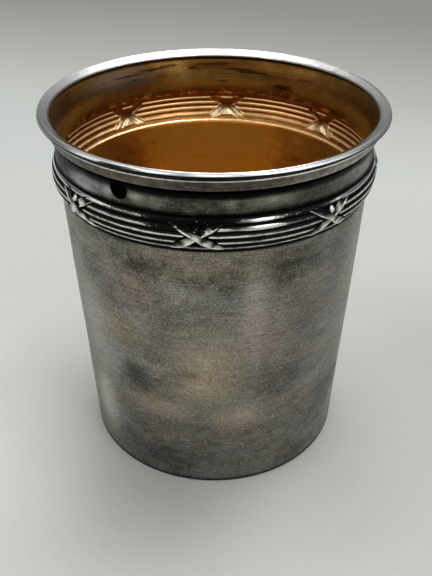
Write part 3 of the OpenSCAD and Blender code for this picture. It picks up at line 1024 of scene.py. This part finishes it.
def moulding_finish():
    """Satin silver with a bright upper edge."""
    f = Finish("moulding_satin_silver")
    cloud = f.noise(7, 3, 4, 7.0)
    lines = f.noise(6, 0.16, 4, 41.0, 0.7)
    mottle = f.noise(1.6, 1.6, 4, 25.0, 0.7)
    worn = ease(f.z + swing(cloud, 0.15), LIP_TOP_Z - 0.50, LIP_TOP_Z - 0.14)
    # A painted highlight along the lower edge
    foot = ease(f.z + swing(cloud, 0.2), 84.50, 84.25)
    # Painted light towards the front right, painted shade at the front left, and painted light low at the
    # sides
    side = ease(f.x, 4.0, 22.0) * ease(f.y, 0.0, -25.0) * 0.24
    side = side - ease(f.x, -8.0, -22.0) * ease(f.y, 0.0, -20.0) * 0.05
    side = side + ease(f.z, 86.2, 84.6) * ease(size_of(f.x), 4.0, 18.0) * 0.10
    tone = 0.21 + swing(cloud, 0.5) + swing(lines, 0.6) + swing(mottle, 0.8)
    colour = f.ramp(tone + worn * 0.66 + foot * 0.22 + side, MOULD_STOPS)
    return f.finish(colour, ease(worn, 0.0, 1.0, 0.42, 0.2), f.bump(lines, 0.008, 0.4), 0.4)


moulding.data.materials.append(moulding_finish())

# %% [markdown]
# ## The bead on the lip
# A shaped silver wire was bent to a ring and soldered on the lip. It has a roll outside, worn to a soft flat
# that leans back, and inside it slopes down to a thin edge. So from the front only the narrow roll shows, and
# at the back the whole bright slope does. Hands and cloths touch it most, so it is the brightest part. Its
# underside is painted black, as the shade under the roll.

# %% Bead
WEAR, ROLL_H, BEAD_INSET = 0.14, 1.03, 0.03
ROLL_UNDER, ROLL_OUTER, ROLL_TOP = 0.25, 1.83, 0.16
INNER_EDGE_H, INNER_ROUND, SEAT_HALF = 0.85, 0.3, BEAD_W / 4
# Where the outline faces, in degrees from outwards, at the joins of its arcs
UNDER_FACES, FLAT_LOW, FLAT_HIGH, SLOPE_FACES, INNER_FACES = -60, 12, 47, 120, 200
BEAD_WAVES = [(0.0125, 5, 0.0, 0.6), (0.0075, 9, 0.0, 2.0), (0.004, 23, 0.0, 0.0)]
WORN_SHARE, WORN_TURN = 0.25, math.radians(35)
under_r, under_z = RIM_R - ROLL_UNDER, RIM_TOP_Z - WEAR - ROLL_H
outer_r = under_r + (ROLL_UNDER - ROLL_OUTER) * math.cos(math.radians(FLAT_LOW))
outer_z = under_z + (ROLL_UNDER - ROLL_OUTER) * math.sin(math.radians(FLAT_LOW))
top_r = outer_r + (ROLL_OUTER - ROLL_TOP) * math.cos(math.radians(FLAT_HIGH))
top_z = outer_z + (ROLL_OUTER - ROLL_TOP) * math.sin(math.radians(FLAT_HIGH))
bead_outline = [(BEAD_R + SEAT_HALF, SEAT_Z)]
bead_outline += arc(under_r, under_z, ROLL_UNDER, ROLL_UNDER, UNDER_FACES, FLAT_LOW, 6)
bead_outline += arc(outer_r, outer_z, ROLL_OUTER, ROLL_OUTER, FLAT_LOW, FLAT_HIGH, 9)[1:]
bead_outline += arc(top_r, top_z, ROLL_TOP, ROLL_TOP, FLAT_HIGH, SLOPE_FACES, 6)[1:]
bead_outline += arc(RIM_R - BEAD_W + INNER_ROUND, SEAT_Z + INNER_EDGE_H - INNER_ROUND,
                    INNER_ROUND, INNER_ROUND, SLOPE_FACES, INNER_FACES, 7)
bead_outline += [(BEAD_R - SEAT_HALF, SEAT_Z)]
print("top of the roll", round(top_z + ROLL_TOP, 2))


def beaten(r, z, a):
    """The wire's own slight waver, and its top worn lower towards the front right."""
    worn = WORN_SHARE * (0.5 + 0.5 * math.cos(a - WORN_TURN)) ** 1.5
    return r - BEAD_INSET + waves(BEAD_WAVES, a), SEAT_Z + (z - SEAT_Z) * (1 - worn)


bead = turned("rim_wire", bead_outline, even_angles(PLAIN_COLUMNS), beaten)
told(bead)

# %% [markdown]
# The wire's finish is nearly clean silver. Grime stays along its outer top edge, along its inner
# edge and in a thin seam at the right. In the photograph the middle of its slope at the back
# mirrors something dark. This plain room has nothing dark there, so the finish is darker instead.

# %% Bead finish
# Dull and bright places of the roll, the bright ones painted highlights: angle in degrees, height, half sizes
# in mm, and the change
BEAD_PATCHES = [
    (-28, 88.35, 7, 0.28, -0.70), (-10, 88.15, 9, 0.2, -0.30), (34, 88.5, 18, 0.6, 0.20),
    (76, 88.4, 7, 0.35, -0.30), (-50, 88.6, 10, 0.7, 0.36), (-76, 88.5, 7, 0.35, -0.25),
    (54, 88.4, 8, 0.6, 0.25)]
BEAD_STOPS = [
    (0.0, (0.05, 0.05, 0.05)), (0.35, (0.36, 0.36, 0.35)), (0.6, (0.72, 0.72, 0.71)),
    (1.0, (0.90, 0.90, 0.895))]


def bead_finish():
    """Bright silver with an underside painted black as shade, a painted dark reflection at the back, and a
    little grime along its edges.
    """
    f = Finish("bead_bright_silver")
    cloud = f.noise(8, 6, 3, 3.0)
    dull = f.noise(2.5, 1.0, 4, 19.0, 0.65)
    smear = f.noise(4, 0.35, 4, 45.0, 0.65)
    scratches = f.noise(5, 0.12, 3, 53.0, 0.7)
    distance = calc("SQRT", f.x * f.x + f.y * f.y)
    # The underside painted black as shade, which climbs the roll a little over the mark
    below = ease(f.z + ease(f.x, 0.0, 18.0) * 0.12, 88.30, 88.12) * ease(distance, 38.8, 39.2)
    below = larger(below, f.patch(-29, 88.25, 5.5, 0.34, swing(dull, 0.5), RIM_R) * 0.9)
    # At the back the slope is duller and more smeared
    behind = ease(f.y, 8.0, 24.0)
    tone = 0.84 + swing(cloud, 0.50) + swing(dull, 0.45) + swing(smear, 0.25 + behind * 0.9) - behind * 0.36
    tone = f.patched(tone, BEAD_PATCHES, swing(dull, 0.8), RIM_R - 0.6)
    # Grime on both edges, the seam at the right, and the painted dark reflection at the back
    edge = distance + swing(dull, 0.25)
    grime_and_dark_reflection = larger(ease(edge, 39.72, 39.88) * ease(f.z, 88.5, 88.7), ease(edge, 37.75, 37.45))
    middle = distance + swing(dull, 0.125)
    seam = ease(middle, 38.92, 39.0) * ease(middle, 39.2, 39.1)
    grime_and_dark_reflection = larger(grime_and_dark_reflection, seam * ease(f.x, 4.0, 18.0) * ease(f.y, -6.0, 6.0))
    mirrored = ease(size_of(f.x - 6.0) + swing(cloud, 8.0), 14.0, 6.0) * ease(edge, 38.55, 38.15) * behind
    grime_and_dark_reflection = larger(grime_and_dark_reflection, mirrored * 1.15) * 0.75
    colour = f.blend(grime_and_dark_reflection, f.ramp(tone, BEAD_STOPS), (0.14, 0.125, 0.11))
    colour = f.blend(below, colour, (0.01, 0.01, 0.01))
    roughness = ease(tone, 0.3, 0.9, 0.36, 0.18) + below * 0.4
    return f.finish(colour, roughness, f.bump(scratches, 0.006, 0.3), 0.3)


bead.data.materials.append(bead_finish())

# %% [markdown]
# ## The gilt lining
# The whole inside was gilt. The gold is a skin on the silver, and here it is a thin shell of its
# own: floor, wall, the back of the struck band, and the neck. The blank is turned first, and the
# rows that lie behind the band are marked to be struck by the same tree as the outside, so each
# reed shows inside as a flute and each ribbon as a crossing.

# %% Lining
SKIN, BOND_GAP, BASE_T = 0.12, 0.03, 1.0
inset = SHEET + BOND_GAP + SKIN
floor_z = BASE_T + BOND_GAP + SKIN
FILLET = 1.2


def inside_r(z):
    """Radius of the gilt face of the wall."""
    return wall_r(z) - inset


lining_outline = [(0.0, BASE_T + BOND_GAP), (20.0, BASE_T + BOND_GAP)]
lining_outline += [(wall_r(z) - SHEET - BOND_GAP, z) for z in (BASE_T + BOND_GAP, 24.0, 47.0, WALL_H)]
lining_outline += [(crest_r(z) - SHEET - BOND_GAP, z) for z in (72.2, 73.6, 75.0, 76.4)]
lining_outline += [(neck_r(z) - SHEET - BOND_GAP, z) for z in (NECK_Z, 81.0, 83.5, 85.5, SEAT_Z)]
lining_outline += [(neck_r(z) - inset, z) for z in [SEAT_Z - 0.68 * k for k in range(13)]]
lining_outline += [(crest_r(z) - inset - GROOVE_DEPTH, z, 1.0) for z in reversed(reed_rows(FLUTE_STEPS))]
lining_outline += [(inside_r(z), z) for z in [70.15, 69.6] + [67.5 - 4.1 * k for k in range(16)]]
lining_outline += arc(inside_r(floor_z + FILLET) - FILLET, floor_z + FILLET, FILLET, FILLET, 0, -90, 5)
lining_outline += [(r, floor_z) for r in (27.0, 22.0, 17.0, 12.0, 8.0, 4.0, 1.5)] + [(0.0, floor_z)]
lining = turned("gilt_inside", lining_outline, tie_angles(*LINING_COLUMNS))
print("gilt floor at", round(floor_z, 2), "mm")

# %% [markdown]
# Worn gilding is gold over silver, tinted by old tarnish: gold and orange brown on the wall, with painted
# shade at its sides and a painted highlight streak at the back; olive at the neck's waist and dark brown
# towards the lip, darkened partly as painted dark reflection; pale peach on the ridges, painted as
# highlights, and dark red brown in the hollows. A grey patch at the neck's left is a painted reflection of
# the bead. Under the rim, at the back, irregular dark stains lie in level streaks. The floor inside, where
# drinks stood, is dull and dark.

# %% Gilt finish
# Dark stains under the rim: angle in degrees, height, half width and half height in mm
GILT_STAINS = [
    (180, 85.8, 6.0, 0.6), (170, 84.6, 5, 0.4), (-154, 85.5, 6, 0.4), (-141, 84.9, 6, 0.25),
    (164, 84.1, 5, 0.45), (-171, 84.9, 2, 0.4), (149, 81.0, 4, 1.3), (-161, 85.9, 3, 0.25),
    (176, 81.4, 2, 0.5)]
# Lighter and darker places of the gilding, partly tone and partly painted light and shade, such as the
# highlight streak at -163 degrees and the darker sides at -137 and 140 degrees: angle in degrees, height,
# half sizes in mm, and the change
GILT_PATCHES = [
    (-163, 56, 3.5, 22, 0.55), (178, 52, 14, 16, 0.22), (-137, 58, 12, 18, -0.34), (140, 60, 14, 18, -0.28),
    (-146, 84, 9, 5, -0.34), (-165, 83, 5, 6, 0.20), (150, 82, 8, 3, -0.08), (180, 85.6, 11, 2.0, -0.26),
    (130, 74, 8, 6, -0.20), (180, 65, 22, 6, 0.26)]
WALL_GOLD = [
    (0.15, (0.40, 0.17, 0.03)), (0.45, (0.83, 0.51, 0.14)), (0.7, (0.99, 0.75, 0.31)),
    (1.0, (1.0, 0.88, 0.58))]
WAIST_GOLD = [
    (0.15, (0.12, 0.050, 0.008)), (0.45, (0.34, 0.195, 0.050)), (0.7, (0.54, 0.36, 0.12)),
    (1.0, (0.80, 0.62, 0.30))]
FLARE_GOLD = [
    (0.15, (0.045, 0.014, 0.002)), (0.45, (0.125, 0.052, 0.010)), (0.7, (0.23, 0.118, 0.032)),
    (1.0, (0.45, 0.32, 0.15))]
# From the ridges between the flutes, painted pale as highlights, to the flutes' hollows
FLUTE_GOLD = [
    (0.0, (0.99, 0.79, 0.49)), (0.76, (0.96, 0.66, 0.30)), (0.90, (0.40, 0.14, 0.032)),
    (1.0, (0.19, 0.048, 0.010))]
FIRED_BROWN = [(0.42, (0.07, 0.016, 0.005)), (0.60, (0.20, 0.065, 0.018)), (0.76, (0.62, 0.34, 0.13))]


def gilt_finish():
    """Worn gilding: gold by height, the struck band, fired brown, and stains under the rim."""
    f = Finish("worn_gilt")
    cloud = f.noise(13, 10, 4, 4.0, 0.6, 0.5)
    mottle = f.noise(3.5, 2.2, 5, 15.0, 0.65)
    lines = f.noise(10, 0.22, 4, 33.0, 0.7)
    fine = f.noise(5, 0.08, 2, 49.0, 0.7)
    tone = 0.5 + swing(cloud, 0.5) + swing(mottle, 0.35) + swing(lines, 0.55)
    # The patches add tone and also painted highlight and shade
    tone = f.patched(tone, GILT_PATCHES, swing(cloud, 0.6))
    # Gold by height: the wall with shade at its sides, then the neck's waist and its flare
    wall_gold = f.ramp(tone + swing(mottle, 0.45) + 0.19, WALL_GOLD)
    for turn, wide in ((-127, 18), (124, 19)):
        shade = f.patch(turn, 62, wide, 22, swing(cloud, 0.8)) * 0.85
        wall_gold = f.tinted(shade, wall_gold, (0.42, 0.42, 0.55))
    # The neck's gold is darker, most at the flare, partly as painted dark reflection
    neck_gold = f.blend(ease(f.z, 81.0, 84.0), f.ramp(tone, WAIST_GOLD), f.ramp(tone, FLARE_GOLD))
    # A painted reflection of the silver bead, grey on the neck's left
    bead_reflection = f.patch(-135, 84, 16, 5, swing(cloud, 0.8), 36.5)
    bead_reflection = bead_reflection + f.patch(-80, 83, 16, 6, swing(cloud, 1.0), 36.5) * 0.7
    neck_gold = f.blend(smaller(bead_reflection, 1.0) * 0.65, neck_gold, (0.16, 0.122, 0.096))
    colour = f.blend(ease(f.z, 78.2, 79.4), wall_gold, neck_gold)
    colour = f.tinted(ease(f.z, 30.0, 8.0), colour, (0.92, 0.82, 0.70))
    settled = ease(f.z + swing(mottle, 1.5), 4.5, 1.7)
    colour = f.tinted(settled, colour, (0.62, 0.52, 0.40))
    # The struck band, and fired brown above it, on the ribbons and on the open ground
    in_band = ease(f.z, 69.9, 70.4) * ease(f.z, 79.2, 78.4)
    hollow = f.attribute("reed") + swing(mottle, 0.35) + ease(f.z, 74.0, 78.4) * 0.20
    colour = f.blend(in_band * 0.92, colour, f.ramp(hollow, FLUTE_GOLD))
    fired = ease(f.z, 76.7, 77.9) * ease(f.z, 80.6, 79.0) * ease(f.y, -5.0, 20.0) * ease(mottle, 0.36, 0.50)
    fired = larger(fired, f.attribute("ribbon") * ease(f.z, 72.2, 74.4) * ease(mottle, 0.30, 0.48))
    fired = larger(fired, f.attribute("open") * ease(f.z, 73.4, 74.6))
    specks = f.noise(0.9, 0.7, 3, 77.0, 0.7)
    colour = f.blend(fired * 0.9, colour, f.ramp(specks, FIRED_BROWN))
    # Dark streaks and stains under the rim
    streak = f.noise(5, 0.7, 5, 61.0, 0.75, 0.3)
    ragged = swing(streak, 2.2) + swing(f.noise(1.6, 0.28, 4, 88.0, 0.8), 2.4)
    under_rim = ease(f.z, 80.0, 84.0) * ease(f.z, 87.0, 86.2) * ease(f.y, 5.0, 30.0)
    stain = ease(streak, 0.56, 0.66) * under_rim * 0.6
    for turn, up, wide, high in GILT_STAINS:
        stain = stain + f.patch(turn, up, wide, high, ragged, 37.0) * 1.4
    colour = f.blend(smaller(stain, 1.0) * 0.94, colour, (0.03, 0.010, 0.005))
    roughness = ease(tone, 0.2, 0.8, 0.36, 0.24) + swing(fine, 0.10)
    roughness = roughness + ease(f.z, 78.6, 80.0) * 0.14 + settled * 0.28
    return f.finish(colour, roughness, f.bump(lines * 0.6 + fine * 0.4, 0.010, 0.45), 0.6)


run_tree(lining, strike_tree, **BAND, Reed_depth_mm=0.44, Ribbon_height_mm=0.62,
         Unevenness_mm=0.30, Metal=gilt_finish())

# %% [markdown]
# ## The base disc
# The disc that closes the foot was let in and soldered. Nothing in the photograph shows it, so
# the exact model's own plain disc stays and only gets a finish. Under a cup the silver shows the
# rings of the lathe and the scuffs of every table it stood on, so the finish reads the distance
# from the axis.

# %% Base finish
BASE_STOPS = [
    (0.0, (0.05, 0.05, 0.047)), (0.4, (0.22, 0.215, 0.19)), (0.7, (0.42, 0.41, 0.38)),
    (1.0, (0.7, 0.69, 0.66))]
# How fast the lathe's rings follow each other, in radians of their wave for each mm
RING_RATE = 9.0


def base_finish():
    """Dull silver with lathe rings and scuffs, rubbed lighter near its edge."""
    f = Finish("base_turned_silver")
    distance = calc("SQRT", f.x * f.x + f.y * f.y)
    wave = calc("SINE", distance * RING_RATE)
    cloud = f.noise(12, 12, 4, 9.0, 0.6)
    scuffs = f.noise(3.0, 3.0, 5, 27.0, 0.7)
    tone = 0.45 + swing(cloud, 0.6) + swing(scuffs, 0.5) + wave * 0.04 + ease(distance, 29.0, 32.0) * 0.18
    normal = f.bump(wave * 0.4 + scuffs, 0.02, 0.4)
    return f.finish(f.ramp(tone, BASE_STOPS), ease(tone, 0.8, 0.2, 0.28, 0.5), normal, 0.3)


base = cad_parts["base_disc"]
base.data.materials.clear()
base.data.materials.append(base_finish())
print("the base disc keeps its", len(base.data.polygons), "faces")

# %% [markdown]
# ## Each piece in place of a node
# Each piece rides on the cup's one body and stands for a node of the exact model, whose own mesh is hidden.

# %% Pieces and bodies
for piece, node, slot in ((wall, "body_wall", "wall_silver"), (reed_strip, "reed_band", "reed_silver"),
                          (ribbon_ties, "ribbon_ties", "ribbon_silver"), (neck, "neck_collar", "neck_silver"),
                          (moulding, "lip_moulding", "moulding_silver"), (bead, "rim_bead", "bead_silver"),
                          (lining, "gilt_lining", "gilt")):
    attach(piece, "root")
    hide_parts(node)
    print(piece.name, "stands for", node)

# %% [markdown]
# ## The floor
# The cup stands on pale paper that is painted darker far behind it and towards the right, as painted shade
# where the lamps' light falls off. Near the cup, soft lighter and darker places stand for the light and shade
# that it throws on the paper. The paper lies a twentieth of a millimetre low, so that it and the cup's
# underside aren't in one plane.

# %% Floor
FLOOR_REACH, FLOOR_Z = 1.6, -0.00005
PAPER_NEAR = [(0.3, (0.435, 0.445, 0.418)), (0.7, (0.505, 0.513, 0.483))]
PAPER_FAR = [(0.0, (0.415, 0.43, 0.415)), (0.35, (0.315, 0.326, 0.307)), (1.0, (0.20, 0.206, 0.186))]
# Light and shade on the paper: angle in degrees, distance from the axis, half size, share and colour
PAPER_PLACES = [
    (14, 44.0, 22, 0.25, (0.62, 0.63, 0.60)), (-65, 56.0, 34, 0.45, (0.62, 0.63, 0.60)),
    (-18, 42.0, 26, 0.22, (0.28, 0.29, 0.265))]


def floor_finish():
    """Pale paper with a fine grain and a few flecks, with painted light and shade near the cup and painted
    shade far behind.
    """
    f = Finish("pale_paper")
    grain = f.noise(1.4, 1.4, 3, 1.0, 0.6)
    drift = f.noise(60, 60, 2, 5.0)
    near = f.ramp(0.5 + swing(grain, 0.24) + swing(drift, 0.12), PAPER_NEAR)
    # Painted shade: the paper darker far behind and towards the right, where the lamps' light falls off
    far = f.ramp(ease(f.y + f.x * 0.4, 140.0, 520.0), PAPER_FAR)
    near = f.blend(ease(f.y + f.x * 0.5, -60.0, 150.0) * 0.6, near, (0.385, 0.397, 0.37))
    near = f.blend(ease(f.x, 0.0, 90.0) * 0.9 * ease(f.y, 80.0, 10.0), near, (0.325, 0.335, 0.315))
    for turn, r, half, share, colour in PAPER_PLACES:
        near = f.blend(f.patch(turn, 0, half, half, 0.0, r) * share, near, colour)
    flecks = f.noise(1.3, 1.3, 2, 57.0, 0.6)
    near = f.blend(ease(flecks, 0.68, 0.76) * 0.35, near, (0.30, 0.31, 0.29))
    colour = f.blend(ease(f.y + f.x * 0.09, 146.0, 158.0), near, far)
    return f.finish(colour, 0.85, f.bump(grain, 0.10, 0.4), 0.0, 0.0)


corners = [(FLOOR_REACH * i, FLOOR_REACH * j, FLOOR_Z) for i, j in ((-1, -1), (1, -1), (1, 1), (-1, 1))]
floor_mesh = bpy.data.meshes.new("paper_floor")
floor_mesh.from_pydata(corners, [], [(0, 1, 2, 3)])
floor_mesh.materials.append(floor_finish())
floor = placed("paper_floor", floor_mesh)
print("paper", 2 * FLOOR_REACH, "m wide")

# %% [markdown]
# ## The light
# Metal shows what surrounds it, so the light is planned as a photographer plans it: a wide soft
# box overhead, three weak soft windows round the front for the bead, and a narrow window and a
# strip at the right for the long highlight.

# %% Soft light
def soft_light(name, place, size, power, colour, aim):
    """A rectangular soft light that is aimed at a point of the cup."""
    lamp = bpy.data.lights.new(name, "AREA")
    lamp.shape, lamp.size, lamp.size_y = "RECTANGLE", size[0], size[1]
    lamp.energy, lamp.color = power, colour
    holder = placed(name, lamp)
    holder.location = place
    holder.rotation_euler = (Vector(aim) - Vector(place)).to_track_quat("-Z", "Y").to_euler()


WHITE, WARM = (1.0, 1.0, 1.0), (1.0, 0.99, 0.97)
CUP_MIDDLE, STRIP_AIM, BEAD_MIDDLE = (0, 0, 0.05), (0, 0, 0.06), (0, 0, 0.088)
soft_light("ceiling_softbox", (0.10, 0.24, 1.00), (0.70, 0.60), 10.0, (1.0, 0.995, 0.98), CUP_MIDDLE)
soft_light("window_right", (0.42, -0.70, 0.30), (0.20, 0.50), 0.25, WARM, CUP_MIDDLE)
soft_light("window_front", (0.0, -0.62, 0.50), (0.26, 0.85), 0.68, WHITE, BEAD_MIDDLE)
for side in (-1, 1):
    soft_light("window_side", (0.453 * side, -0.354, 0.50), (0.40, 0.40), 0.6, WHITE, BEAD_MIDDLE)
soft_light("strip_right", (0.30, -0.46, 0.62), (0.05, 0.40), 0.35, WARM, STRIP_AIM)
print(len(bpy.data.lights), "soft lights")

# %% [markdown]
# ## The room
# The room is dim, with side walls paler than its front and back, and a ceiling that grows lighter
# overhead. It is a formula on the direction in which a ray leaves.

# %% Surroundings
world = bpy.data.worlds.new("soft_studio")
bpy.context.scene.world = world
world.use_nodes = True
sky = world.node_tree
ray = sky.nodes.new("ShaderNodeTexCoord").outputs["Generated"]
parts = sky.nodes.new("ShaderNodeSeparateXYZ")
sky.links.new(ray, parts.inputs[0])
ray_side, ray_back, ray_up = (Wire(sky, parts.outputs[k]) for k in range(3))
glow = ease(ray_up, 0.10, 0.95, 0.10, 0.50) + ease(ray_back, 0.1, 0.9) * 0.08
room = ease(size_of(ray_side), 0.2, 0.8) * ease(ray_back, 0.25, -0.10)
glow = glow + room * ease(ray_up, -0.10, 0.05) * ease(ray_up, 0.75, 0.35) * 0.75
plug(glow, sky.nodes["Background"].inputs["Strength"])
sky.nodes["Background"].inputs["Color"].default_value = (0.97, 1.0, 0.985, 1.0)

view = bpy.context.scene.view_settings
view.view_transform, view.look = "Standard", "None"
print("room formula:", len(sky.nodes), "nodes")
